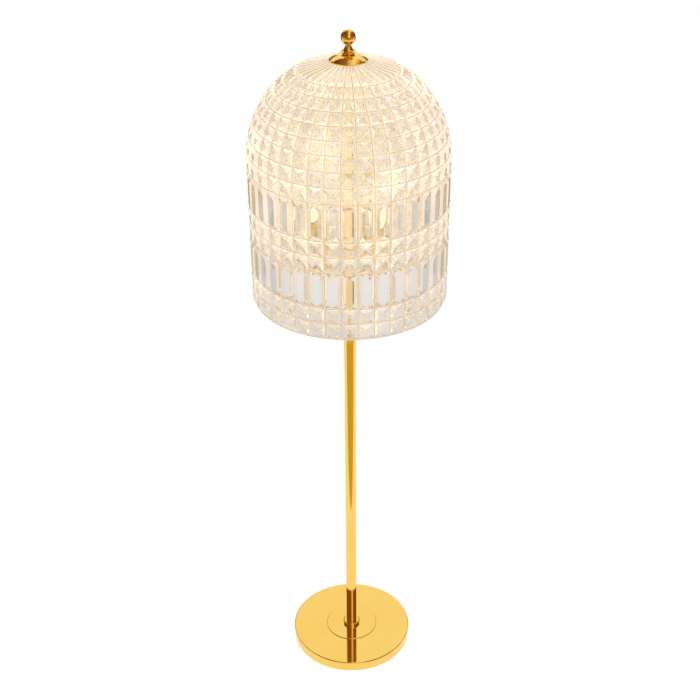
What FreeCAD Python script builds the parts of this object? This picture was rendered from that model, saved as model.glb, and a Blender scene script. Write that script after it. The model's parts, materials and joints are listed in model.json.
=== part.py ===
import FreeCAD, Part
import Sketcher
import math
import os

doc = FreeCAD.newDocument("cage_floor_lamp")
sheet = doc.addObject("Spreadsheet::Sheet", "Sizes")

# Driving sizes in millimetres and degrees. Z is up and zero is the underside of the base pad.
DRIVING = [
    # clearances
    ("fit_gap", 0.3),
    ("thread_gap", 0.05),
    ("turn_gap", 0.08),
    ("weld_gap", 0.1),
    # base
    ("pad_margin", 8),
    ("pad_hole_radius", 30),
    ("pad_thickness", 2),
    ("base_radius", 146),
    ("base_height", 26),
    ("shell_wall", 1.5),
    ("shell_lift", 1),
    ("edge_round", 2.2),
    ("step_radius", 63),
    ("step_height", 1.5),
    ("step_round", 1.2),
    ("pocket_radius", 22),
    ("pocket_depth", 14),
    ("channel_width", 18),
    # mains lead inlet at the back of the base
    ("bush_height", 9),
    ("bush_bore_radius", 3.2),
    ("bush_wall", 1.4),
    ("bush_flange", 2.2),
    ("bush_flange_thickness", 2),
    ("terminal_width", 14),
    ("terminal_length", 26),
    ("terminal_height", 8),
    ("terminal_well_radius", 2),
    ("terminal_well_depth", 5),
    # stem and its fastenings
    ("rod_radius", 5),
    ("nipple_bore_radius", 3.5),
    ("nipple_tail", 6),
    ("nut_flats", 17),
    ("nut_height", 5),
    ("washer_radius", 12),
    ("washer_thickness", 1.5),
    ("collar_radius", 20.5),
    ("collar_height", 8.5),
    ("collar_round", 3),
    ("stem_radius", 13),
    ("stem_wall", 1.5),
    ("plug_length", 24),
    ("coupler_length", 60),
    ("coupler_bore_radius", 5.5),
    ("stem_joint_height", 505),
    # lamp cluster
    ("cluster_lift", 65),
    ("lamp_count", 3),
    ("lamp_angle", -165),
    ("lamp_circle", 80),
    ("hub_radius", 21.5),
    ("hub_neck_radius", 16),
    ("hub_length", 34),
    ("hub_band", 16),
    ("grub_radius", 2),
    ("grub_length", 6),
    ("arm_radius", 5),
    ("arm_wall", 1),
    ("arm_bend", 25),
    ("cup_lift", 2),
    ("cup_radius", 18),
    ("cup_foot_radius", 8),
    ("cup_height", 8),
    ("cup_floor", 3),
    ("cup_wall", 1.2),
    ("sleeve_radius", 13.5),
    ("sleeve_wall", 0.8),
    ("sleeve_length", 85),
    ("holder_length", 40),
    ("holder_depth", 20),
    ("holder_inset", 2),
    # bulbs
    ("thread_radius", 6.7),
    ("thread_length", 17),
    ("bulb_flange_radius", 8.4),
    ("bulb_flange_height", 4),
    ("bulb_radius", 17.5),
    ("bulb_widest", 27),
    ("bulb_length", 76),
    ("bulb_tip_radius", 2.5),
    ("bulb_belly_arc", 62),
    ("bulb_shoulder_arc", 40),
    ("glass_wall", 0.8),
    ("stalk_radius", 2.2),
    ("stalk_length", 42),
    # wiring
    ("wire_core_radius", 1.2),
    ("wire_spacing", 3.2),
    ("wire_bend", 5),
    ("lead_radius", 1.8),
    # shade
    ("shade_rim_height", 987),
    ("shade_radius", 204),
    ("shade_wall_height", 319),
    ("column_count", 38),
    ("rim_row", 34.7),
    ("long_row", 80.3),
    ("waist_row", 33.8),
    ("shoulder_row", 30.9),
    ("fan_row", 67.6),
    ("fan_pitch", 17),
    ("wire_radius", 1.1),
    ("top_ring_radius", 37.3),
    ("rib_bend", 25),
    ("rib_overrun", 5),
    ("plate_margin", 1),
    ("plate_thickness", 2),
    # crystals
    ("crystal_gap", 0.35),
    ("crystal_edge", 3),
    ("crystal_crown", 5.8),
    ("crystal_back", 3),
    ("square_bevel_share", 0.5),
    ("long_bevel_share", 0.4),
    ("fan_bevel_share", 0.7),
    ("fan_taper", 0.3),
    ("clip_share", 0.35),
    # cap and finial
    ("cap_overhang", 1.5),
    ("cap_lip", 1.4),
    ("cap_rise", 10.9),
    ("cap_wall", 1.2),
    ("cap_crown_arc", 42),
    ("cap_flat_radius", 14),
    ("finial_foot_radius", 11.5),
    ("finial_foot_height", 1.2),
    ("bell_radius", 14.8),
    ("bell_lower_height", 2.6),
    ("bell_lower_radius", 13),
    ("bell_height", 5.5),
    ("bell_flare", 13),
    ("neck_radius", 6.4),
    ("neck_height", 16.8),
    ("neck_length", 2.4),
    ("ball_radius", 15),
    ("finial_bore_depth", 14),
    ("rod_end_gap", 2),
]

# Sizes that follow from the driving ones.
DERIVED = [
    ("pad_radius", "base_radius - pad_margin"),
    ("shell_inner_radius", "base_radius - shell_wall"),
    ("shell_under", "base_height - shell_wall"),
    ("shell_top_edge", "base_radius - edge_round"),
    ("shell_side_top", "base_height - edge_round - shell_lift"),
    ("shell_ceiling", "base_height - shell_wall - shell_lift"),
    ("shell_full_height", "base_height - shell_lift"),
    ("foot_height", "base_height + step_height"),
    ("step_full_height", "base_height + step_height - shell_lift"),
    ("step_side_top", "base_height + step_height - shell_lift - step_round"),
    ("step_flat_radius", "step_radius - step_round"),
    ("weight_radius", "shell_inner_radius - fit_gap"),
    ("weight_height", "shell_under - pad_thickness"),
    ("rod_hole_radius", "rod_radius + fit_gap"),
    ("rod_thread_radius", "rod_radius + thread_gap"),
    ("rod_turn_radius", "rod_radius + turn_gap"),
    ("pocket_top", "pad_thickness + pocket_depth"),
    ("channel_start", "-channel_width / 2"),
    ("channel_length", "base_radius"),
    ("bush_radius", "bush_bore_radius + bush_wall"),
    ("bush_hole_radius", "bush_radius + thread_gap"),
    ("bush_flange_radius", "bush_radius + bush_flange"),
    ("bush_inner_flange_end", "bush_flange_thickness"),
    ("bush_groove_end", "bush_flange_thickness + shell_wall + 2 * fit_gap"),
    ("bush_length", "2 * bush_flange_thickness + shell_wall + 2 * fit_gap"),
    ("bush_start", "shell_inner_radius - fit_gap - bush_flange_thickness"),
    ("terminal_start", "pad_hole_radius + fit_gap"),
    ("terminal_side", "-terminal_width / 2"),
    ("base_washer_height", "pocket_top - washer_thickness"),
    ("base_nut_height", "base_washer_height - nut_height"),
    ("nipple_start", "base_nut_height - fit_gap"),
    ("nipple_length", "foot_height + plug_length - nipple_tail - nipple_start"),
    ("nut_corner_radius", "nut_flats / (2 * cos(30))"),
    ("collar_bore_radius", "stem_radius + fit_gap / 2"),
    ("collar_side_top", "collar_height - collar_round"),
    ("collar_top_radius", "collar_radius - collar_round"),
    ("stem_bore_radius", "stem_radius - stem_wall"),
    ("plug_radius", "stem_bore_radius - turn_gap"),
    ("stem_lower_length", "stem_joint_height - foot_height"),
    ("coupler_start", "stem_joint_height - coupler_length / 2"),
    ("wire_offset", "wire_radius + weld_gap / 2"),
    ("fan_foot_radius", "top_ring_radius + fan_row * cos(fan_pitch)"),
    ("fan_foot_rise", "sqrt(shade_radius^2 - fan_foot_radius^2)"),
    ("fan_reach", "fan_foot_radius * sin(fan_pitch) + fan_foot_rise * cos(fan_pitch) "
                  "- wire_offset"),
    ("rib_end_radius", "top_ring_radius - rib_overrun"),
    ("plate_radius", "top_ring_radius - plate_margin"),
    ("dome_centre", "shade_rim_height + shade_wall_height"),
    ("plate_top", "dome_centre - weld_gap "
                  "+ (fan_reach - wire_radius - plate_radius * sin(fan_pitch)) / cos(fan_pitch)"),
    ("plate_bottom", "plate_top - plate_thickness"),
    ("seat_washer_height", "plate_bottom - washer_thickness"),
    ("seat_nut_height", "seat_washer_height - nut_height"),
    ("stem_upper_length", "seat_nut_height - stem_joint_height"),
    ("top_plug_height", "seat_nut_height - plug_length"),
    ("top_rod_height", "top_plug_height + rod_end_gap"),
    ("hub_height", "shade_rim_height + cluster_lift"),
    ("hub_start", "hub_height - hub_length / 2"),
    ("hub_bore_radius", "stem_radius + turn_gap"),
    ("hub_band_start", "hub_length / 2 - hub_band / 2"),
    ("hub_band_end", "hub_length / 2 + hub_band / 2"),
    ("arm_hole_radius", "arm_radius + turn_gap"),
    ("arm_bore_radius", "arm_radius - arm_wall"),
    ("arm_start", "stem_radius + fit_gap"),
    ("grub_start", "stem_radius + turn_gap"),
    ("grub_hole_radius", "grub_radius + thread_gap"),
    ("grub_height", "(hub_length / 2 - hub_band / 2) / 2"),
    ("cup_start", "hub_height + arm_bend + cup_lift"),
    ("cup_inner_radius", "cup_radius - cup_wall"),
    ("sleeve_start", "cup_start + cup_floor"),
    ("sleeve_bore_radius", "sleeve_radius - sleeve_wall"),
    ("holder_radius", "sleeve_bore_radius - fit_gap"),
    ("holder_start", "sleeve_start + sleeve_length - holder_inset - holder_length"),
    ("holder_floor", "holder_length - holder_depth"),
    ("holder_bore_radius", "thread_radius + turn_gap"),
    ("arm_rise", "holder_start - hub_height - arm_bend"),
    ("holder_top", "holder_start + holder_length"),
    ("bulb_flange_start", "holder_top + fit_gap"),
    ("bulb_thread_start", "bulb_flange_start - thread_length"),
    ("bulb_cap_length", "thread_length + bulb_flange_height"),
    ("glass_start", "bulb_flange_start + bulb_flange_height"),
    ("glass_neck_inner", "bulb_flange_radius - glass_wall"),
    ("bulb_inner_radius", "bulb_radius - glass_wall"),
    ("bulb_inner_tip", "bulb_length - glass_wall * 2"),
    ("bulb_inner_belly", "bulb_belly_arc - glass_wall"),
    ("bulb_inner_shoulder", "bulb_shoulder_arc - glass_wall"),
    ("supply_top", "hub_height - lead_radius - fit_gap"),
    ("supply_floor", "pad_thickness + wire_core_radius + 2 * fit_gap"),
    ("ring_level", "shade_wall_height + fan_foot_rise + fan_row * sin(fan_pitch) "
                   "+ wire_offset * cos(fan_pitch)"),
    ("cap_height", "shade_rim_height + ring_level + wire_radius + fit_gap"),
    ("cap_radius", "top_ring_radius + cap_overhang"),
    ("cap_top", "cap_lip + cap_rise"),
    ("cap_under_radius", "cap_radius - cap_wall"),
    ("cap_under_top", "cap_top - cap_wall"),
    ("finial_height", "cap_height + cap_top + fit_gap"),
    ("neck_top", "neck_height + neck_length"),
    ("ball_centre", "neck_top + sqrt(ball_radius^2 - neck_radius^2)"),
    ("finial_length", "ball_centre + ball_radius"),
    ("top_rod_length", "finial_height + finial_bore_depth - rod_end_gap - top_rod_height"),
    ("stalk_tip_radius", "stalk_radius / 2"),
    ("stalk_taper", "stalk_length * 3 / 4"),
]

for row, (alias, value) in enumerate(DRIVING + [(a, "=" + f) for a, f in DERIVED], start=1):
    sheet.set("A%d" % row, alias)
    sheet.set("B%d" % row, str(value))
    sheet.setAlias("B%d" % row, alias)
doc.recompute()

# The sub-parts, in the order in which they are made.
finished = []


def size(alias):
    """The value of a named size, or zero for None."""
    return float(sheet.get(alias)) if alias else 0.0


def finish(label, thing):
    """Name a sub-part and keep it for writing."""
    thing.Label = label
    finished.append(thing)
    return thing


def stand(thing, height):
    """Tie a piece's height above the floor to a named size."""
    thing.setExpression("Placement.Base.z", "Sizes." + height)


def bind(thing, **sizes):
    """Tie properties of a primitive to named sizes."""
    for prop, alias in sizes.items():
        thing.setExpression(prop, "Sizes." + alias)


def origin_plane(body, role):
    return [f for f in body.Origin.OriginFeatures if f.Role == role][0]


def place_vertex(sketch, edge, vertex, across, up):
    """Fix one corner of an outline to its two named sizes, or to an axis for None."""
    for kind, alias, axis in (("DistanceX", across, -2), ("DistanceY", up, -1)):
        if alias is None:
            sketch.addConstraint(Sketcher.Constraint("PointOnObject", edge, vertex, axis))
            continue
        index = sketch.addConstraint(
            Sketcher.Constraint(kind, -1, 1, edge, vertex, size(alias)))
        sketch.setExpression("Constraints[%d]" % index, "Sizes." + alias)


def arc_between(start, end, radius, side):
    """An arc from start to end. Side 1 turns left on the way and side -1 turns right."""
    chord = end - start
    half = chord.Length / 2
    sagitta_leg = math.sqrt(max(radius * radius - half * half, 0))
    left = FreeCAD.Vector(-chord.y, chord.x, 0).normalize()
    centre = start + chord * 0.5 + left * (side * sagitta_leg)
    first, last = (start, end) if side > 0 else (end, start)
    circle = Part.Circle(centre, FreeCAD.Vector(0, 0, 1), radius)
    return Part.ArcOfCircle(circle, circle.parameter(first), circle.parameter(last))


def draw_outline(sketch, outline):
    """Draw a closed outline whose corners are pairs of named sizes. A corner with four entries
    starts an arc: the third is its radius and the fourth its side."""
    points = [FreeCAD.Vector(size(c[0]), size(c[1]), 0) for c in outline]
    count = len(outline)
    ends = []
    for i, corner in enumerate(outline):
        start, end = points[i], points[(i + 1) % count]
        if len(corner) == 2:
            sketch.addGeometry(Part.LineSegment(start, end), False)
            ends.append((1, 2))
        else:
            sketch.addGeometry(arc_between(start, end, size(corner[2]), corner[3]), False)
            ends.append((1, 2) if corner[3] > 0 else (2, 1))
    for i in range(count):
        after = (i + 1) % count
        sketch.addConstraint(Sketcher.Constraint("Coincident", i, ends[i][1], after, ends[after][0]))
    for i, corner in enumerate(outline):
        place_vertex(sketch, i, ends[i][0], corner[0], corner[1])
        if len(corner) == 4:
            index = sketch.addConstraint(Sketcher.Constraint("Radius", i, size(corner[2])))
            sketch.setExpression("Constraints[%d]" % index, "Sizes." + corner[2])


def turned(label, outline, height=None):
    """A turned piece: an outline of (radius, height) sizes revolved about the vertical axis."""
    body = doc.addObject("PartDesign::Body", label)
    sketch = body.newObject("Sketcher::SketchObject", label + "_outline")
    sketch.AttachmentSupport = [(origin_plane(body, "XZ_Plane"), "")]
    sketch.MapMode = "FlatFace"
    draw_outline(sketch, outline)
    turn = body.newObject("PartDesign::Revolution", label + "_turn")
    turn.Profile = sketch
    turn.ReferenceAxis = (sketch, ["V_Axis"])
    turn.Angle = 360
    body.Tip = turn
    if height:
        stand(body, height)
    return body


def tube(label, outer, bore, length, height=None):
    """A plain tube, washer or, with no bore, a rod."""
    return turned(label, [(bore, None), (outer, None), (outer, length), (bore, length)], height)


def cylinder(label, radius, length):
    thing = doc.addObject("Part::Cylinder", label)
    bind(thing, Radius=radius, Height=length)
    return thing


def cut(label, base, tools):
    """Take tools away from a base piece, one after another."""
    for number, tool in enumerate(tools, start=1):
        result = doc.addObject("Part::Cut", "%s_cut_%d" % (label, number))
        result.Base = base
        result.Tool = tool
        base = result
    return base


def shaped(label, shape, height=None):
    """A piece whose shape is worked out from the sheet by this file's own functions."""
    thing = doc.addObject("Part::Feature", label)
    thing.Shape = shape
    if height:
        stand(thing, height)
    return thing


# Base

def make_base():
    finish("base_pad", tube("base_pad", "pad_radius", "pad_hole_radius", "pad_thickness"))

    weight = turned("weight_blank", [
        ("pocket_radius", None), ("weight_radius", None), ("weight_radius", "weight_height"),
        ("rod_hole_radius", "weight_height"), ("rod_hole_radius", "pocket_depth"),
        ("pocket_radius", "pocket_depth")], "pad_thickness")
    channel = doc.addObject("Part::Box", "weight_channel")
    bind(channel, Width="channel_length", Length="channel_width", Height="pocket_depth")
    channel.setExpression("Placement.Base.x", "Sizes.channel_start")
    stand(channel, "pad_thickness")
    finish("base_weight", cut("base_weight", weight, [channel]))

    shell = turned("shell_blank", [
        ("shell_inner_radius", None), ("base_radius", None),
        ("base_radius", "shell_side_top", "edge_round", 1), ("shell_top_edge", "shell_full_height"),
        ("step_radius", "shell_full_height"), ("step_radius", "step_side_top", "step_round", 1),
        ("step_flat_radius", "step_full_height"), ("rod_hole_radius", "step_full_height"),
        ("rod_hole_radius", "shell_ceiling"), ("shell_inner_radius", "shell_ceiling")],
        "shell_lift")
    inlet = cylinder("inlet_hole", "bush_hole_radius", "base_radius")
    inlet.Placement.Rotation = FreeCAD.Rotation(FreeCAD.Vector(1, 0, 0), -90)
    stand(inlet, "bush_height")
    inlet.setExpression("Placement.Base.y", "Sizes.base_radius / 2")
    finish("base_shell", cut("base_shell", shell, [inlet]))

    bush = turned("cord_bush", [
        ("bush_bore_radius", None), ("bush_flange_radius", None),
        ("bush_flange_radius", "bush_inner_flange_end"), ("bush_radius", "bush_inner_flange_end"),
        ("bush_radius", "bush_groove_end"), ("bush_flange_radius", "bush_groove_end"),
        ("bush_flange_radius", "bush_length"), ("bush_bore_radius", "bush_length")])
    bush.Placement.Rotation = FreeCAD.Rotation(FreeCAD.Vector(1, 0, 0), -90)
    stand(bush, "bush_height")
    bush.setExpression("Placement.Base.y", "Sizes.bush_start")
    finish("cord_bush", bush)

    block = doc.addObject("Part::Box", "terminal_blank")
    bind(block, Length="terminal_width", Width="terminal_length", Height="terminal_height")
    block.setExpression("Placement.Base.x", "Sizes.terminal_side")
    block.setExpression("Placement.Base.y", "Sizes.terminal_start")
    stand(block, "pad_thickness")
    wells = []
    for number, (across, along) in enumerate(((-1, 1), (1, 1), (-1, 3), (1, 3)), start=1):
        well = cylinder("terminal_well_%d" % number, "terminal_well_radius", "terminal_well_depth")
        well.setExpression("Placement.Base.x", "%d * Sizes.terminal_width / 4" % across)
        well.setExpression("Placement.Base.y",
                           "Sizes.terminal_start + %d * Sizes.terminal_length / 4" % along)
        well.setExpression("Placement.Base.z",
                           "Sizes.pad_thickness + Sizes.terminal_height - Sizes.terminal_well_depth")
        wells.append(well)
    finish("terminal_block", cut("terminal_block", block, wells))


def make_nut(label, height):
    """A hexagon nut whose thread is a plain bore."""
    blank = doc.addObject("Part::Prism", label + "_blank")
    blank.Polygon = 6
    bind(blank, Circumradius="nut_corner_radius", Height="nut_height")
    bore = cylinder(label + "_bore", "rod_thread_radius", "nut_height")
    stand(blank, height)
    stand(bore, height)
    finish(label, cut(label, blank, [bore]))


# Stem

def make_stem():
    finish("base_washer",
           tube("base_washer", "washer_radius", "rod_thread_radius", "washer_thickness",
                "base_washer_height"))
    make_nut("base_nut", "base_nut_height")
    finish("foot_nipple",
           tube("foot_nipple", "rod_radius", "nipple_bore_radius", "nipple_length", "nipple_start"))
    finish("foot_collar", turned("foot_collar", [
        ("collar_bore_radius", None), ("collar_radius", None),
        ("collar_radius", "collar_side_top", "collar_round", 1), ("collar_top_radius", "collar_height"),
        ("collar_bore_radius", "collar_height")], "foot_height"))
    finish("foot_plug",
           tube("foot_plug", "plug_radius", "rod_thread_radius", "plug_length", "foot_height"))
    finish("stem_lower",
           tube("stem_lower", "stem_radius", "stem_bore_radius", "stem_lower_length", "foot_height"))
    finish("stem_coupler",
           tube("stem_coupler", "plug_radius", "coupler_bore_radius", "coupler_length",
                "coupler_start"))

    upper = tube("stem_upper_blank", "stem_radius", "stem_bore_radius", "stem_upper_length",
                 "stem_joint_height")
    holes = [lamp_drill("stem_hole", number, "arm_bore_radius", "hub_height")
             for number in lamp_numbers()]
    finish("stem_upper", cut("stem_upper", upper, holes))
    finish("top_plug",
           tube("top_plug", "plug_radius", "rod_thread_radius", "plug_length", "top_plug_height"))
    finish("top_rod", tube("top_rod", "rod_radius", None, "top_rod_length", "top_rod_height"))
    make_nut("seat_nut", "seat_nut_height")
    finish("seat_washer",
           tube("seat_washer", "washer_radius", "rod_thread_radius", "washer_thickness",
                "seat_washer_height"))


# Lamp cluster

def lamp_numbers():
    return range(1, int(size("lamp_count")) + 1)


def lamp_turn(number):
    """The direction of an arm, in degrees about the vertical axis, as an expression."""
    return "Sizes.lamp_angle + %d * 360 / Sizes.lamp_count" % (number - 1)


def lamp_drill(name, number, radius, height, half_way=False):
    """A horizontal drill from the axis outwards along an arm, or half way to the next arm."""
    drill = cylinder("%s_%d" % (name, number), radius, "lamp_circle")
    angle = size("lamp_angle") + (number - 1 + (0.5 if half_way else 0)) * 360 / size("lamp_count")
    lay_down = FreeCAD.Rotation(FreeCAD.Vector(0, 1, 0), 90)
    drill.Placement.Rotation = FreeCAD.Rotation(FreeCAD.Vector(0, 0, 1), angle).multiply(lay_down)
    stand(drill, height)
    return drill


def put_on_arm(thing, number, height):
    """Stand a turned piece on the upright end of an arm."""
    for axis, function in (("x", "cos"), ("y", "sin")):
        thing.setExpression("Placement.Base." + axis,
                            "Sizes.lamp_circle * %s(%s)" % (function, lamp_turn(number)))
    stand(thing, height)


def bent_path(start, bend, rise):
    """Out along X from start, round a quarter bend and up by rise, ending over the lamp circle."""
    out = size("lamp_circle") - bend
    turn = bend * math.sqrt(0.5)
    line_out = Part.LineSegment(FreeCAD.Vector(start, 0, 0), FreeCAD.Vector(out, 0, 0))
    quarter = Part.Arc(FreeCAD.Vector(out, 0, 0), FreeCAD.Vector(out + turn, 0, bend - turn),
                       FreeCAD.Vector(out + bend, 0, bend))
    line_up = Part.LineSegment(FreeCAD.Vector(out + bend, 0, bend),
                               FreeCAD.Vector(out + bend, 0, bend + rise))
    return Part.Wire([e.toShape() for e in (line_out, quarter, line_up)])


def swept(path, radius, start, along):
    """A round solid of the given radius along a path that starts at start and heads along."""
    ring = Part.Wire(Part.makeCircle(radius, start, along))
    return path.makePipeShell([ring], True, False)


def arm_shape(start, outer, bore):
    path = bent_path(start, size("arm_bend"), size("arm_rise"))
    foot, out = FreeCAD.Vector(start, 0, 0), FreeCAD.Vector(1, 0, 0)
    shape = swept(path, outer, foot, out)
    return shape.cut(swept(path, bore, foot, out)) if bore else shape


def make_cluster():
    hub = turned("hub_blank", [
        ("hub_bore_radius", None), ("hub_neck_radius", None), ("hub_neck_radius", "hub_band_start"),
        ("hub_radius", "hub_band_start"), ("hub_radius", "hub_band_end"),
        ("hub_neck_radius", "hub_band_end"), ("hub_neck_radius", "hub_length"),
        ("hub_bore_radius", "hub_length")], "hub_start")
    drills = []
    for number in lamp_numbers():
        drills.append(lamp_drill("arm_hole", number, "arm_hole_radius", "hub_height"))
        grub_hole = lamp_drill("grub_hole", number, "grub_hole_radius", "hub_start", True)
        grub_hole.setExpression("Placement.Base.z", "Sizes.hub_start + Sizes.grub_height")
        drills.append(grub_hole)
    finish("arm_hub", cut("arm_hub", hub, drills))

    screw = Part.makeCylinder(size("grub_radius"), size("grub_length"),
                              FreeCAD.Vector(size("grub_start"), 0, size("grub_height")),
                              FreeCAD.Vector(1, 0, 0))
    screws = []
    step = 360 / size("lamp_count")
    for number in lamp_numbers():
        copy = screw.copy()
        copy.rotate(FreeCAD.Vector(0, 0, 0), FreeCAD.Vector(0, 0, 1),
                    size("lamp_angle") + (number - 0.5) * step)
        screws.append(copy)
    finish("hub_screws", shaped("hub_screws", Part.makeCompound(screws), "hub_start"))

    leads = []
    for number in lamp_numbers():
        arm = shaped("lamp_arm_%d" % number,
                     arm_shape(size("arm_start"), size("arm_radius"), size("arm_bore_radius")))
        arm.setExpression("Placement.Rotation.Angle", lamp_turn(number))
        stand(arm, "hub_height")
        finish("lamp_arm_%d" % number, arm)
        lead = arm_shape(size("arm_bore_radius"), size("lead_radius"), 0)
        lead.rotate(FreeCAD.Vector(0, 0, 0), FreeCAD.Vector(0, 0, 1),
                    size("lamp_angle") + (number - 1) * step)
        leads.append(lead)
        cup = turned("lamp_cup_%d" % number, [
            ("arm_hole_radius", None), ("cup_foot_radius", None), ("cup_radius", "cup_floor"),
            ("cup_radius", "cup_height"), ("cup_inner_radius", "cup_height"),
            ("cup_inner_radius", "cup_floor"), ("arm_hole_radius", "cup_floor")])
        put_on_arm(cup, number, "cup_start")
        finish("lamp_cup_%d" % number, cup)
        sleeve = tube("lamp_sleeve_%d" % number, "sleeve_radius", "sleeve_bore_radius",
                      "sleeve_length")
        put_on_arm(sleeve, number, "sleeve_start")
        finish("lamp_sleeve_%d" % number, sleeve)
        holder = turned("lampholder_%d" % number, [
            (None, None), ("holder_radius", None), ("holder_radius", "holder_length"),
            ("holder_bore_radius", "holder_length"), ("holder_bore_radius", "holder_floor"),
            (None, "holder_floor")])
        put_on_arm(holder, number, "holder_start")
        finish("lampholder_%d" % number, holder)
    finish("arm_leads", shaped("arm_leads", Part.makeCompound(leads), "hub_height"))


def make_bulbs():
    for number in lamp_numbers():
        cap = turned("bulb_cap_%d" % number, [
            (None, None), ("thread_radius", None), ("thread_radius", "thread_length"),
            ("bulb_flange_radius", "thread_length"), ("bulb_flange_radius", "bulb_cap_length"),
            (None, "bulb_cap_length")])
        put_on_arm(cap, number, "bulb_thread_start")
        finish("bulb_cap_%d" % number, cap)
        glass = turned("bulb_glass_%d" % number, [
            ("glass_neck_inner", None), ("bulb_flange_radius", None, "bulb_shoulder_arc", 1),
            ("bulb_radius", "bulb_widest", "bulb_belly_arc", 1), ("bulb_tip_radius", "bulb_length"),
            (None, "bulb_length"), (None, "bulb_inner_tip"),
            ("bulb_tip_radius", "bulb_inner_tip", "bulb_inner_belly", -1),
            ("bulb_inner_radius", "bulb_widest", "bulb_inner_shoulder", -1)])
        put_on_arm(glass, number, "glass_start")
        finish("bulb_glass_%d" % number, glass)
        stalk = turned("bulb_filament_%d" % number, [
            (None, None), ("stalk_radius", None), ("stalk_radius", "stalk_taper"),
            ("stalk_tip_radius", "stalk_length"), (None, "stalk_length")])
        put_on_arm(stalk, number, "glass_start")
        finish("bulb_filament_%d" % number, stalk)


def make_supply_wires():
    """Two wires that rise through the stem from the terminal block to the hub."""
    top, floor, bend = size("supply_top"), size("supply_floor"), size("wire_bend")
    reach = size("terminal_start")
    corner = bend * (1 - math.sqrt(0.5))
    wires = []
    for side in (-1, 1):
        x = side * size("wire_spacing") / 2
        down = Part.LineSegment(FreeCAD.Vector(x, 0, top), FreeCAD.Vector(x, 0, floor + bend))
        turn = Part.Arc(FreeCAD.Vector(x, 0, floor + bend),
                        FreeCAD.Vector(x, corner, floor + corner),
                        FreeCAD.Vector(x, bend, floor))
        out = Part.LineSegment(FreeCAD.Vector(x, bend, floor), FreeCAD.Vector(x, reach, floor))
        path = Part.Wire([e.toShape() for e in (down, turn, out)])
        wires.append(swept(path, size("wire_core_radius"), FreeCAD.Vector(x, 0, top),
                           FreeCAD.Vector(0, 0, -1)))
    finish("supply_wires", shaped("supply_wires", Part.makeCompound(wires)))


# Shade. Places on its skin are given by the distance from the rim, measured up the skin: a
# straight wall, a dome and a shallow straight fan.

def fan_start():
    """How far up the skin the dome ends and the fan begins."""
    radius = size("shade_radius")
    return size("shade_wall_height") + radius * math.acos(size("fan_foot_radius") / radius)


def skin_point(distance, offset=0.0):
    """Radius of the skin and height above the rim, moved outwards by offset."""
    radius, wall = size("shade_radius"), size("shade_wall_height")
    along = distance - fan_start()
    if along > 0.001:
        pitch = math.radians(size("fan_pitch"))
        return (size("fan_foot_radius") - along * math.cos(pitch) + offset * math.sin(pitch),
                wall + size("fan_foot_rise") + along * math.sin(pitch) + offset * math.cos(pitch))
    slope = max(distance - wall, 0) / radius
    height = min(distance, wall) + (radius + offset) * math.sin(slope)
    return (radius + offset) * math.cos(slope), height


# Crystal rows from the rim upwards: name of the sub-part, name of the row height and kind of cut.
# The rows with no height of their own share what the others leave of the wall and dome.
ROWS = [
    ("crystals_rim", "rim_row", "square"),
    ("crystals_rim", "rim_row", "square"),
    ("crystals_lower_long", "long_row", "long"),
    ("crystals_middle", "waist_row", "square"),
    ("crystals_middle", "waist_row", "square"),
    ("crystals_upper_long", "long_row", "long"),
    ("crystals_waist", "waist_row", "square"),
    ("crystals_shoulder", "shoulder_row", "square"),
    ("crystals_shoulder", "shoulder_row", "square"),
    ("crystals_crown_1", None, "square"),
    ("crystals_crown_2", None, "square"),
    ("crystals_crown_3", None, "square"),
    ("crystals_crown_4", None, "square"),
    ("crystals_crown_5", None, "square"),
]


def row_edges():
    """Distances up the skin of the rings between the rows, the ring under the cap last."""
    left = fan_start() - sum(size(row[1]) for row in ROWS)
    shared = left / sum(row[1] is None for row in ROWS)
    edges = [0.0]
    for row in ROWS:
        edges.append(edges[-1] + (size(row[1]) or shared))
    edges.append(edges[-1] + size("fan_row"))
    return edges


def face(points):
    return Part.Face(Part.makePolygon(points + [points[0]]))


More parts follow.
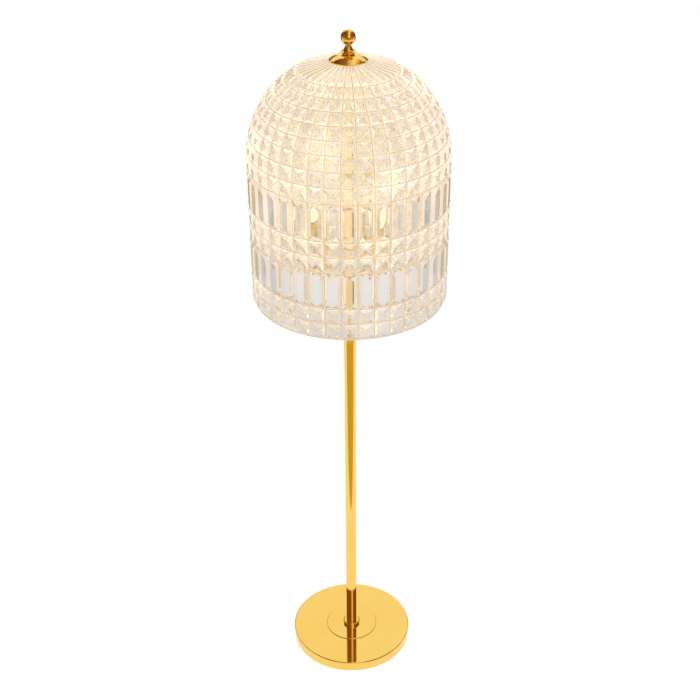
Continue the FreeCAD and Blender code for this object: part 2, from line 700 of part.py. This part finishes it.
def cut_stone(low_half, high_half, length, kind):
    """A faceted crystal in the plane of Y and Z, its front facing X, between two widths.
    The outline is a trapezoid, the front has a table with clipped corners and eight bevels,
    and the back is a low pyramid or, on long and fan crystals, cut like the front but lower.
    A fan crystal thins out towards its head."""
    taper = size("fan_taper") if kind == "fan" else 1
    bevel = size(kind + "_bevel_share") * min(low_half, high_half / taper, length / 2)
    edge, crown, rear = size("crystal_edge") / 2, size("crystal_crown"), size("crystal_back")
    lean = (high_half - low_half) / length
    stretch = math.sqrt(1 + lean * lean)

    def corner(x, rise, inset, side, at_head):
        part = taper if at_head else 1
        z = length - inset * part if at_head else inset
        return FreeCAD.Vector(x + rise * part, side * (low_half + lean * z - inset * part * stretch),
                              z)

    def corners(x, rise=0, inset=0):
        places = ((-1, False), (1, False), (1, True), (-1, True))
        return [corner(x, rise, inset, side, at_head) for side, at_head in places]

    def clipped(points):
        clip = size("clip_share") * min((points[1] - points[0]).Length,
                                        (points[2] - points[3]).Length,
                                        (points[2] - points[1]).Length)
        out = []
        for i, point in enumerate(points):
            for other in (points[i - 1], points[(i + 1) % 4]):
                out.append(point + (other - point).normalize() * clip)
        return out

    def crown_faces(x, rise):
        girdle, table = corners(x), clipped(corners(x, rise, bevel))
        faces = [face(table)]
        for i in range(4):
            after = (i + 1) % 4
            faces.append(face([girdle[i], table[2 * i], table[2 * i + 1]]))
            faces.append(face([girdle[i], girdle[after], table[2 * after], table[2 * i + 1]]))
        return faces

    front, back = corners(edge), corners(-edge)
    faces = crown_faces(edge, crown)
    for i in range(4):
        after = (i + 1) % 4
        faces.append(face([front[i], front[after], back[after], back[i]]))
    if kind == "square":
        point = FreeCAD.Vector(-edge - rear, 0, length / 2)
        faces += [face([back[i], back[(i + 1) % 4], point]) for i in range(4)]
    else:
        faces += crown_faces(-edge, -rear)
    stone = Part.Solid(Part.Shell(faces))
    if stone.Volume < 0:
        stone.reverse()
    return stone


def stone_in_cell(low, high, kind):
    """The crystal of one row that sits in the cell facing X, clear of the wires round it."""
    half_turn = math.pi / size("column_count")
    low_radius, low_height = skin_point(low)
    high_radius, high_height = skin_point(high)
    foot = FreeCAD.Vector(low_radius * math.cos(half_turn), 0, low_height)
    head = FreeCAD.Vector(high_radius * math.cos(half_turn), 0, high_height)
    up = (head - foot).normalize()
    length = (head - foot).Length
    clear = size("wire_radius") + size("crystal_gap")
    lean = (high_radius - low_radius) * math.sin(half_turn) / length
    side_clear = clear * math.sqrt(1 + lean * lean)
    low_half = low_radius * math.sin(half_turn) + lean * clear - side_clear
    high_half = high_radius * math.sin(half_turn) - lean * clear - side_clear
    stone = cut_stone(low_half, high_half, length - 2 * clear, kind)
    tilt = math.degrees(math.atan2(-up.x, up.z))
    stone.rotate(FreeCAD.Vector(0, 0, 0), FreeCAD.Vector(0, 1, 0), -tilt)
    stone.translate(foot + up * clear)
    return stone


def round_the_axis(shape, count, first=0.0):
    """Copies of a shape spaced evenly about the vertical axis, from the front onwards."""
    copies = []
    for number in range(count):
        copy = shape.copy()
        copy.rotate(FreeCAD.Vector(0, 0, 0), FreeCAD.Vector(0, 0, 1),
                    (number + first) * 360 / count - 90)
        copies.append(copy)
    return copies


def make_crystals():
    edges = row_edges()
    rows = ROWS + [("crystals_fan", None, "fan")]
    columns = int(size("column_count"))
    stones = {}
    for low, high, (label, _, kind) in zip(edges, edges[1:], rows):
        stones.setdefault(label, [])
        stones[label] += round_the_axis(stone_in_cell(low, high, kind), columns)
    for label, solids in stones.items():
        finish(label, shaped(label, Part.makeCompound(solids), "shade_rim_height"))


def make_cage():
    offset, wire = size("wire_offset"), size("wire_radius")
    rings = []
    for distance in row_edges():
        radius, height = skin_point(distance, offset)
        rings.append(Part.makeTorus(radius, wire, FreeCAD.Vector(0, 0, height)))
    finish("ring_wires", shaped("ring_wires", Part.makeCompound(rings), "shade_rim_height"))

    reach, bend = size("shade_radius") - offset, size("rib_bend")
    pitch = math.radians(size("fan_pitch"))
    turn = math.acos((size("fan_reach") - bend) / (reach - bend))
    start = math.pi / 2 - pitch - turn

    def around(centre, radius, angle):
        return centre + FreeCAD.Vector(radius * math.cos(angle), 0, radius * math.sin(angle))

    middle = FreeCAD.Vector(0, 0, size("shade_wall_height"))
    dome = [around(middle, reach, start * share) for share in (0, 0.5, 1)]
    bent = [around(around(middle, reach - bend, start), bend, start + turn * share)
            for share in (0, 0.5, 1)]
    over = bent[2].x - size("rib_end_radius")
    end = bent[2] + FreeCAD.Vector(-over, 0, over * math.tan(pitch))
    foot = FreeCAD.Vector(reach, 0, -wire)
    lines = (Part.LineSegment(foot, dome[0]), Part.Arc(*dome), Part.Arc(*bent),
             Part.LineSegment(bent[2], end))
    path = Part.Wire([line.toShape() for line in lines])
    rib = swept(path, wire, foot, FreeCAD.Vector(0, 0, 1))
    ribs = round_the_axis(rib, int(size("column_count")), 0.5)
    finish("rib_wires", shaped("rib_wires", Part.makeCompound(ribs), "shade_rim_height"))

    finish("top_plate", tube("top_plate", "plate_radius", "rod_turn_radius", "plate_thickness",
                             "plate_bottom"))


# Cap and finial

def make_top():
    finish("cap", turned("cap", [
        ("cap_under_radius", None), ("cap_radius", None),
        ("cap_radius", "cap_lip", "cap_crown_arc", 1), ("cap_flat_radius", "cap_top"),
        ("rod_turn_radius", "cap_top"), ("rod_turn_radius", "cap_under_top"),
        ("cap_flat_radius", "cap_under_top", "cap_crown_arc", -1)], "cap_height"))
    finish("finial", turned("finial", [
        ("rod_turn_radius", None), ("finial_foot_radius", None),
        ("finial_foot_radius", "finial_foot_height"), ("bell_lower_radius", "finial_foot_height"),
        ("bell_lower_radius", "bell_lower_height"),
        ("bell_radius", "bell_height", "bell_flare", -1), ("neck_radius", "neck_height"),
        ("neck_radius", "neck_top", "ball_radius", 1), (None, "finial_length"),
        (None, "finial_bore_depth"), ("rod_turn_radius", "finial_bore_depth")], "finial_height"))


def check_and_write():
    """Stop on any failed object or broken shape, then write each sub-part."""
    doc.recompute()
    broken = [o.Name for o in doc.Objects if {"Invalid", "Error"} & set(o.State)]
    for thing in finished:
        shape = thing.Shape
        if shape.isNull() or not shape.isValid() or not shape.Solids:
            broken.append(thing.Label)
    if broken:
        raise RuntimeError("these failed: %s" % ", ".join(broken))
    os.makedirs("parts", exist_ok=True)
    for thing in finished:
        thing.Shape.exportStep(os.path.join("parts", thing.Label + ".step"))
        print("%-20s %4d solids %12.1f mm3" % (thing.Label, len(thing.Shape.Solids),
                                               thing.Shape.Volume))


make_base()
make_stem()
make_cluster()
make_bulbs()
make_supply_wires()
make_crystals()
make_cage()
make_top()
check_and_write()
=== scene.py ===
import json
import math

import bmesh
import bpy
from mathutils import Euler, Matrix, Vector

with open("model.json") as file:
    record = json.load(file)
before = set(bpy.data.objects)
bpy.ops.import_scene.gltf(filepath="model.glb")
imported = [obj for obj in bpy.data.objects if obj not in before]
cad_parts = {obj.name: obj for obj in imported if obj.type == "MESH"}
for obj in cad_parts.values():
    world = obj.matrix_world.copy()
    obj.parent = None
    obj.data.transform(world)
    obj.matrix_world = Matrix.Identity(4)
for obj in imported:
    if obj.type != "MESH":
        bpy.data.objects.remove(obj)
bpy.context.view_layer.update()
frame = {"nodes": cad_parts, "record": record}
nodes = frame["nodes"]


# Shader nodes

def add(made, kind, **values):
    """A node of a kind in a material or world, with its properties or unlinked inputs set."""
    node = made.node_tree.nodes.new(kind)
    for key, value in values.items():
        if key in node.inputs:
            node.inputs[key].default_value = value
        else:
            setattr(node, key, value)
    return node


def feed(made, source, socket):
    """Links a node's result to a socket, or sets the socket to a plain number or colour."""
    if isinstance(source, bpy.types.NodeSocket):
        made.node_tree.links.new(source, socket)
    elif isinstance(source, tuple):
        socket.default_value = (*source, 1)
    else:
        socket.default_value = source


def number(made, kind, first, second=0.0):
    """What a maths node makes of two nodes' results or plain numbers."""
    node = add(made, "ShaderNodeMath", operation=kind)
    feed(made, first, node.inputs[0])
    feed(made, second, node.inputs[1])
    return node.outputs[0]


def product(made, result, *factors):
    for factor in factors:
        result = number(made, "MULTIPLY", result, factor)
    return result


def band(made, source, start, end, low=0.0, high=1.0):
    """Maps a number between start and end to one between low and high."""
    node = add(made, "ShaderNodeMapRange")
    for name, value in (("Value", source), ("From Min", start), ("From Max", end),
                        ("To Min", low), ("To Max", high)):
        feed(made, value, node.inputs[name])
    return node.outputs["Result"]


def mixed(made, share, first, second):
    """A colour between two colours, each a plain one or a node's result."""
    node = add(made, "ShaderNodeMix", data_type="RGBA")
    for socket, value in ((0, share), (6, first), (7, second)):
        feed(made, value, node.inputs[socket])
    return node.outputs[2]


def blended(made, source, *stops):
    """Maps a number to colours that blend from each (position, colour) to the next."""
    node = add(made, "ShaderNodeValToRGB")
    elements = node.color_ramp.elements
    while len(elements) < len(stops):
        elements.new(1.0)
    for element, (position, colour) in zip(elements, stops):
        element.position = position
        element.color = (*colour, 1)
    feed(made, source, node.inputs["Fac"])
    return node.outputs["Color"]


def noise(made, scale, detail=3.0):
    """Noise over the object's own coordinates."""
    place = add(made, "ShaderNodeTexCoord")
    cloud = add(made, "ShaderNodeTexNoise", Scale=scale, Detail=detail)
    feed(made, place.outputs["Object"], cloud.inputs["Vector"])
    return cloud.outputs["Fac"]


def axes(made, source):
    """The X, Y and Z of a vector."""
    node = add(made, "ShaderNodeSeparateXYZ")
    feed(made, source, node.inputs["Vector"])
    return node.outputs


# Materials

NOISE_SPAN = 0.35, 0.65
GOLD = (0.945, 0.61, 0.14), (0.965, 0.64, 0.16), (0.05, 0.09), 9
GLASS_IOR = 1.52
DOME_CENTRE = 1.306


def material(name, **values):
    """A new material and its shader node, with plain values on the shader's own sockets."""
    made = bpy.data.materials.new(name)
    made.use_nodes = True
    shader = made.node_tree.nodes["Principled BSDF"]
    for key, value in values.items():
        shader.inputs[key.replace("_", " ")].default_value = value
    return made, shader


def surface(name, low, high, rough, scale, strength=0.1, **values):
    """A material whose colour, roughness and relief vary a little over the surface."""
    made, shader = material(name, **values)
    cloud = noise(made, scale)
    feed(made, blended(made, cloud, *zip(NOISE_SPAN, (low, high))), shader.inputs["Base Color"])
    feed(made, band(made, cloud, 0, 1, *rough), shader.inputs["Roughness"])
    relief = add(made, "ShaderNodeBump", Strength=strength, Distance=0.0002)
    feed(made, cloud, relief.inputs["Height"])
    feed(made, relief.outputs["Normal"], shader.inputs["Normal"])
    return made


def lies_flat(made):
    """One where a face looks straight out of the shade or into it, nought where it is bevelled."""
    geometry = add(made, "ShaderNodeNewGeometry")
    place = axes(made, geometry.outputs["Position"])
    out = add(made, "ShaderNodeCombineXYZ")
    feed(made, place["X"], out.inputs["X"])
    feed(made, place["Y"], out.inputs["Y"])
    above = number(made, "SUBTRACT", place["Z"], DOME_CENTRE)
    feed(made, number(made, "MAXIMUM", above, 0.0), out.inputs["Z"])
    unit = add(made, "ShaderNodeVectorMath", operation="NORMALIZE")
    feed(made, out.outputs["Vector"], unit.inputs[0])
    along = add(made, "ShaderNodeVectorMath", operation="DOT_PRODUCT")
    feed(made, unit.outputs["Vector"], along.inputs[0])
    feed(made, geometry.outputs["True Normal"], along.inputs[1])
    return band(made, number(made, "ABSOLUTE", along.outputs["Value"]), 0.86, 0.94)


def crystal_material(name, table, bevel, painted_stem_reflection, oblique_painted_shade, turned, painted_fleck_shade):
    """Cut glass. The table and the bevels each have a tint for what they let through, and a painted
    glow that stands in for the bulbs' light they give back, less towards the rim and more in soft
    patches.
    High in the middle, smaller patches are painted with the gold of the stem and arms behind, a
    painted reflection. Dark flecks of painted shade are where the cut throws the light away. A
    table that is turned away, by a facing between the two of turned, takes on the oblique tint,
    a painted shade, and gives back less."""
    made, shader = material(name, IOR=GLASS_IOR, Transmission_Weight=1.0)
    (table_tint, table_glow), (bevel_tint, bevel_glow) = table, bevel
    flat = lies_flat(made)
    # Painted shade: a table seen at a slant gets a darker tint and gives back less glow.
    facing = add(made, "ShaderNodeLayerWeight").outputs["Facing"]
    away = number(made, "MULTIPLY", band(made, facing, *turned), flat)
    cloud = noise(made, 22, 2.0)
    tint = mixed(made, cloud, table_tint, tuple(1.1 * part for part in table_tint))
    tint = mixed(made, away, mixed(made, flat, bevel_tint, tint), oblique_painted_shade)
    feed(made, tint, shader.inputs["Base Color"])
    feed(made, band(made, cloud, 0, 1, 0.0, 0.03), shader.inputs["Roughness"])

    place = axes(made, add(made, "ShaderNodeTexCoord").outputs["Object"])
    height = place["Z"]
    sideways = number(made, "ABSOLUTE", place["X"])
    # Painted reflection: the gold of the stem and arms behind, painted into the glow in small
    # patches near the middle, between 1.08 m and 1.18 m high.
    painted_stem_reflection_share = product(made, band(made, sideways, 0.03, 0.17, 1.0, 0.1),
                   band(made, noise(made, 70, 2.0), 0.50, 0.64), band(made, height, 1.08, 1.18))
    glow = mixed(made, painted_stem_reflection_share, mixed(made, flat, bevel_glow, table_glow), painted_stem_reflection)
    feed(made, glow, shader.inputs["Emission Color"])

    # Painted glow: its strength is dimmed towards the rim, the sides and the crown, on turned-away
    # tables and in dark flecks, and raised in soft patches.
    towards_rim = band(made, height, 0.98, 1.28, 0.63, 1.06)
    towards_edge = band(made, sideways, 0.06, 0.16, 1.0, 0.94)
    towards_crown = band(made, height, 1.36, 1.48, 1.0, 0.86)
    turned_away_painted_shade = band(made, away, 0, 1, 1.0, 0.7)
    # Painted shade: small dark flecks where the glow is lowered.
    painted_shade_flecks = band(made, noise(made, 330, 1.0), 0.36, 0.46, painted_fleck_shade, 1.0)
    painted_glow_patches = band(made, noise(made, 11, 1.0), 0.54, 0.70, 0.97, 1.28)
    painted_glow_level = product(made, towards_rim, towards_edge, towards_crown, turned_away_painted_shade, painted_shade_flecks, painted_glow_patches)
    feed(made, painted_glow_level, shader.inputs["Emission Strength"])
    return made


def lit_inside(made, lowest, colour, shade):
    """Paints the bulbs' light onto a metal above a height as a glow, all round but for one narrow
    painted dark streak, a painted reflection.
    """
    shader = made.node_tree.nodes["Principled BSDF"]
    geometry = add(made, "ShaderNodeNewGeometry")
    height = axes(made, geometry.outputs["Position"])["Z"]
    facing = axes(made, geometry.outputs["True Normal"])["X"]
    from_streak = number(made, "ABSOLUTE", number(made, "SUBTRACT", facing, 0.62))
    above = band(made, height, lowest, lowest + 0.07)
    lit = number(made, "MULTIPLY", above, band(made, from_streak, 0.08, 0.16))
    feed(made, lit, shader.inputs["Emission Strength"])
    feed(made, colour, shader.inputs["Emission Color"])
    plain = shader.inputs["Base Color"].links[0].from_socket
    painted_dark_streak = number(made, "SUBTRACT", above, lit)
    feed(made, mixed(made, painted_dark_streak, plain, shade), shader.inputs["Base Color"])
    return made


def glow_material(name, colour, edge, strength):
    """Frosted glass lit from inside, warmer in places."""
    made, shader = material(name, Roughness=0.25)
    stops = zip(NOISE_SPAN, (edge, colour))
    feed(made, blended(made, noise(made, 30, 2.0), *stops), shader.inputs["Base Color"])
    feed(made, colour, shader.inputs["Emission Color"])
    feed(made, strength, shader.inputs["Emission Strength"])
    return made


FINISHES = {
    "polished_gold": surface("polished_gold", *GOLD, strength=0.01, Metallic=1.0),
    # The cage wire's weak glow is painted light from the crystals around it.
    "cage_wire": surface(
        "wire_gold_painted_glow", (0.84, 0.74, 0.58), (0.92, 0.82, 0.66), (0.3, 0.42), 60, strength=0.05,
        Metallic=0.35, Emission_Color=(0.85, 0.68, 0.45, 1), Emission_Strength=0.16),
    "zinc_steel": surface(
        "zinc_steel", (0.50, 0.50, 0.49), (0.62, 0.62, 0.61), (0.3, 0.45), 80, Metallic=1.0),
    "bulb_cap_metal": surface(
        "nickel_cap", (0.58, 0.57, 0.55), (0.68, 0.67, 0.64), (0.2, 0.3), 60, Metallic=1.0),
    "iron": surface(
        "cast_iron", (0.035, 0.035, 0.037), (0.06, 0.06, 0.062), (0.6, 0.8), 120, strength=0.5,
        Metallic=0.3),
    "felt": surface(
        "felt", (0.012, 0.012, 0.012), (0.03, 0.03, 0.03), (0.9, 1.0), 900, strength=0.8),
    "bush_rubber": surface(
        "bush_rubber", (0.012, 0.012, 0.012), (0.022, 0.022, 0.022), (0.5, 0.65), 200),
    "lampholder_plastic": surface(
        "moulded_holder", (0.78, 0.74, 0.66), (0.84, 0.80, 0.72), (0.28, 0.36), 90),
    "terminal_plastic": surface(
        "terminal_plastic", (0.74, 0.74, 0.72), (0.80, 0.80, 0.78), (0.4, 0.5), 90),
    "wire_sheath": surface(
        "wire_sheath", (0.68, 0.64, 0.54), (0.74, 0.70, 0.60), (0.4, 0.5), 90),
    "bulb_glass": glow_material("bulb_glass", (1.0, 0.86, 0.66), (1.0, 0.75, 0.45), 0.78),
    "bulb_stalk": glow_material("bulb_stalk", (1.0, 0.70, 0.35), (1.0, 0.62, 0.30), 2.0),
    "cut_crystal": crystal_material(
        "cut_crystal", table=((0.42, 0.41, 0.40), (0.305, 0.248, 0.186)),
        bevel=((0.41, 0.40, 0.39), (0.310, 0.252, 0.186)), painted_stem_reflection=(0.32, 0.265, 0.13),
        oblique_painted_shade=(0.36, 0.33, 0.31), turned=(0.45, 0.85), painted_fleck_shade=0.45),
}
clear_crystal = crystal_material(
    "clear_crystal", table=((0.62, 0.62, 0.625), (0.112, 0.100, 0.080)),
    bevel=((0.45, 0.44, 0.43), (0.29, 0.215, 0.145)), painted_stem_reflection=(0.24, 0.18, 0.06),
    oblique_painted_shade=(0.33, 0.31, 0.33), turned=(0.30, 0.46), painted_fleck_shade=0.7)
fan_crystal = crystal_material(
    "fan_crystal", table=((0.42, 0.41, 0.40), (0.298, 0.242, 0.186)),
    bevel=((0.42, 0.41, 0.40), (0.284, 0.230, 0.176)), painted_stem_reflection=(0.30, 0.25, 0.15),
    oblique_painted_shade=(0.38, 0.36, 0.34), turned=(0.45, 0.85), painted_fleck_shade=0.85)
# The upper stem is painted with the bulbs' light from 0.86 m up, with a painted dark streak.
stem_gold = lit_inside(surface("lit_stem_gold", *GOLD, strength=0.01, Metallic=1.0),
                       lowest=0.860, colour=(0.42, 0.38, 0.28), shade=(0.30, 0.17, 0.05))

for part in frame["record"]["subparts"]:
    node = nodes[part["node"]]
    node.data.materials.clear()
    node.data.materials.append(FINISHES[part["material_slot"]])
for name in ("crystals_lower_long", "crystals_upper_long"):
    nodes[name].data.materials[0] = clear_crystal
nodes["crystals_fan"].data.materials[0] = fan_crystal
nodes["stem_upper"].data.materials[0] = stem_gold


# Floor, light and camera

ROOM = 4
CEILING = 5.5
ABOVE_FLOOR = 0.002
FLOOR_GOLD = (0.60, 0.49, 0.12)
WALL_BROWN = (0.30, 0.19, 0.09)


def place_in_scene(name, data):
    thing = bpy.data.objects.new(name, data)
    bpy.context.scene.collection.objects.link(thing)
    return thing


def even(colour):
    """The tones of a panel that has one colour."""
    return (-ROOM, colour), (ROOM, colour)


def panel(name, low, high, tones):
    """A flat studio panel between two corners that only mirrors see: it lights nothing and casts
    no shadow. Each tone is a place along X in metres and a colour, and they blend in between."""
    first, second = (axis for axis in range(3) if low[axis] != high[axis])
    corners = [list(low), list(low), list(high), list(low)]
    corners[1][first] = high[first]
    corners[3][second] = high[second]
    mesh = bpy.data.meshes.new(name)
    mesh.from_pydata(corners, [], [(0, 1, 2, 3)])
    made = bpy.data.materials.new(name)
    made.use_nodes = True
    tree = made.node_tree
    tree.nodes.remove(tree.nodes["Principled BSDF"])
    place = axes(made, add(made, "ShaderNodeNewGeometry").outputs["Position"])
    stops = [((x + ROOM) / (2 * ROOM), colour) for x, colour in tones]
    glow = add(made, "ShaderNodeEmission")
    feed(made, blended(made, band(made, place["X"], -ROOM, ROOM), *stops), glow.inputs["Color"])
    feed(made, glow.outputs[0], tree.nodes["Material Output"].inputs[0])
    mesh.materials.append(made)
    thing = place_in_scene(name, mesh)
    for ray in ("camera", "diffuse", "transmission", "volume_scatter", "shadow"):
        setattr(thing, "visible_" + ray, False)


def lamp(name, place, target, energy):
    """A soft box that lights the object without showing in it as a mirror image."""
    light = bpy.data.lights.new(name, "AREA")
    light.shape = "SQUARE"
    light.size = 1.6
    light.energy = energy
    thing = place_in_scene(name, light)
    thing.location = place
    thing.rotation_euler = (Vector(target) - Vector(place)).to_track_quat("-Z", "Y").to_euler()
    thing.visible_glossy = False


def backdrop_rays(made):
    """One for the rays that show the backdrop: seen straight, mirrored or through glass."""
    path = add(made, "ShaderNodeLightPath").outputs
    seen = number(made, "MAXIMUM", path["Is Camera Ray"], path["Is Glossy Ray"])
    return number(made, "MAXIMUM", seen, path["Is Transmission Ray"])


def make_floor():
    """A pale floor that is nearly white to see and keeps the object's shadow."""
    mesh = bpy.data.meshes.new("floor")
    form = bmesh.new()
    bmesh.ops.create_grid(form, x_segments=1, y_segments=1, size=12)
    form.to_mesh(mesh)
    form.free()
    floor = place_in_scene("floor", mesh)
    made, shader = material("floor_paint", Base_Color=(0.9, 0.9, 0.9, 1), Roughness=0.9)
    glow = add(made, "ShaderNodeEmission", Color=(1, 1, 1, 1), Strength=1.06)
    mix = add(made, "ShaderNodeMixShader")
    feed(made, number(made, "MULTIPLY", backdrop_rays(made), 0.9), mix.inputs[0])
    feed(made, shader.outputs[0], mix.inputs[1])
    feed(made, glow.outputs[0], mix.inputs[2])
    feed(made, mix.outputs[0], made.node_tree.nodes["Material Output"].inputs[0])
    floor.data.materials.append(made)


def make_world():
    """White to see, and a plainer light on the object."""
    world = bpy.data.worlds.new("studio")
    bpy.context.scene.world = world
    world.use_nodes = True
    back = world.node_tree.nodes["Background"]
    feed(world, (1, 1, 1), back.inputs["Color"])
    feed(world, band(world, backdrop_rays(world), 0, 1, 0.55, 1.0), back.inputs["Strength"])


def make_camera():
    """Looks down at the lamp from the front, as the photograph does."""
    data = bpy.data.cameras.new("camera")
    data.sensor_width = 36
    focal_length, frame_width = 1243, 700
    data.lens = focal_length / frame_width * data.sensor_width
    data.clip_end = 60
    thing = place_in_scene("camera", data)
    aim = Euler((math.radians(90 - 30.79), 0, 0)).to_matrix()
    roll = Matrix.Rotation(math.radians(-0.33), 3, "Z")
    thing.matrix_world = Matrix.Translation((0, -2.392, 2.266)) @ (aim @ roll).to_4x4()
    bpy.context.scene.camera = thing


make_floor()
make_world()
make_camera()
lamp("key", (-2.2, -2.0, 3.0), (0, 0, 0.8), 30)
lamp("fill", (2.4, -1.2, 2.4), (0, 0, 0.9), 18)
for name, near, far, tone in (("front_floor", -ROOM, -0.52, FLOOR_GOLD),
                              ("back_floor", 1.2, 2.1, FLOOR_GOLD),
                              ("far_floor", 2.1, ROOM, (0.16, 0.09, 0.03))):
    panel(name, (-ROOM, near, ABOVE_FLOOR), (ROOM, far, ABOVE_FLOOR), even(tone))
panel("front_wall", (-ROOM, -ROOM, 0), (ROOM, -ROOM, 1.8), even(WALL_BROWN))
panel("softbox", (-ROOM, -ROOM, 1.8), (ROOM, -ROOM, CEILING),
      ((-0.9, (0.22, 0.13, 0.06)), (0.1, (0.60, 0.50, 0.40)), (0.9, (1.2, 1.1, 1.0)),
       (2.2, (1.0, 0.92, 0.8)), (3.4, (0.18, 0.10, 0.03))))
for side in (-ROOM, ROOM):
    for name, near, far, low, high, tone in (
            ("side_foot", -ROOM, ROOM, 0, 1.3, (0.60, 0.47, 0.28)),
            ("side_near", -ROOM, 0.8, 1.3, CEILING, (0.24, 0.13, 0.06)),
            ("side_far", 0.8, ROOM, 1.3, CEILING, (0.14, 0.07, 0.02))):
        panel(name, (side, near, low), (side, far, high), even(tone))
panel("back_left_wall", (-ROOM, ROOM, 0), (-0.9, ROOM, 3.4),
      ((-ROOM, (0.14, 0.07, 0.03)), (-0.9, (0.34, 0.21, 0.10))))
panel("back_right_wall", (1.3, ROOM, 0), (ROOM, ROOM, 3.4),
      ((1.3, WALL_BROWN), (ROOM, (0.13, 0.06, 0.02))))
panel("ceiling", (-ROOM, -ROOM, CEILING), (ROOM, 3, CEILING),
      ((-3.2, (0.12, 0.04, 0.01)), (-0.5, (0.30, 0.16, 0.09)), (0.3, (0.75, 0.62, 0.48)),
       (1.2, (1.1, 1.0, 0.92)), (3.0, (0.30, 0.17, 0.08))))

bpy.context.scene.view_settings.view_transform = "Standard"
